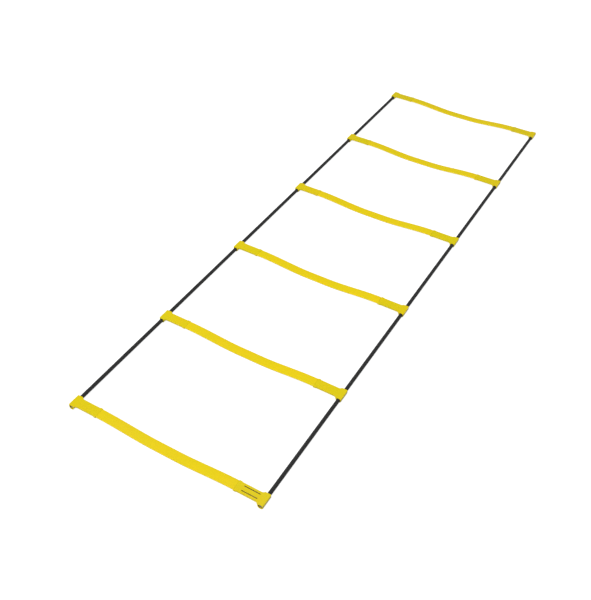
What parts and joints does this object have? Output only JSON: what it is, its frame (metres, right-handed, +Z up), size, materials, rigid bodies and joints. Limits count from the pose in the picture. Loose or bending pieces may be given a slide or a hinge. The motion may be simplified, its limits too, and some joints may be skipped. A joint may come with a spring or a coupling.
{
  "type": "agility ladder",
  "caption": "Flat floor ladder for footwork drills: bowed plastic rungs with moulded end pieces that slide along taut side cords.",
  "frame": {"origin": "on the floor, below the middle of the ladder", "axes": "+Y along the side cords, from the rung with the strap slots to the far one; +X across the ladder along a rung, towards the slots; +Z up"},
  "size_m": [0.514, 1.683, 0.0132],
  "materials": {
    "rung_yellow": "satin moulded plastic, yellow",
    "end_piece_yellow": "satin moulded plastic, yellow",
    "cord_charcoal": "round braided cord, charcoal",
    "stop_zinc_steel": "crimped steel, zinc-plated"
  },
  "bodies": {
    "root": {"rung_1_slat": "rung_yellow", "rung_1_left_end_piece": "end_piece_yellow", "rung_1_right_end_piece": "end_piece_yellow", "rung_6_slat": "rung_yellow", "rung_6_left_end_piece": "end_piece_yellow", "rung_6_right_end_piece": "end_piece_yellow", "left_cord": "cord_charcoal", "right_cord": "cord_charcoal", "left_cord_stop_near": "stop_zinc_steel", "left_cord_stop_far": "stop_zinc_steel", "right_cord_stop_near": "stop_zinc_steel", "right_cord_stop_far": "stop_zinc_steel"},
    "rung_2": {"rung_2_slat": "rung_yellow", "rung_2_left_end_piece": "end_piece_yellow", "rung_2_right_end_piece": "end_piece_yellow"},
    "rung_3": {"rung_3_slat": "rung_yellow", "rung_3_left_end_piece": "end_piece_yellow", "rung_3_right_end_piece": "end_piece_yellow"},
    "rung_4": {"rung_4_slat": "rung_yellow", "rung_4_left_end_piece": "end_piece_yellow", "rung_4_right_end_piece": "end_piece_yellow"},
    "rung_5": {"rung_5_slat": "rung_yellow", "rung_5_left_end_piece": "end_piece_yellow", "rung_5_right_end_piece": "end_piece_yellow"}
  },
  "joints": [
    {"name": "rung_2_slide", "type": "slide", "parent": "root", "child": "rung_2", "axis": [0, 1, 0], "range_m": [-0.29, 0.145]},
    {"name": "rung_3_slide", "type": "slide", "parent": "root", "child": "rung_3", "axis": [0, 1, 0], "range_m": [-0.145, 0.145]},
    {"name": "rung_4_slide", "type": "slide", "parent": "root", "child": "rung_4", "axis": [0, 1, 0], "range_m": [-0.145, 0.145]},
    {"name": "rung_5_slide", "type": "slide", "parent": "root", "child": "rung_5", "axis": [0, 1, 0], "range_m": [-0.145, 0.29]}
  ]
}
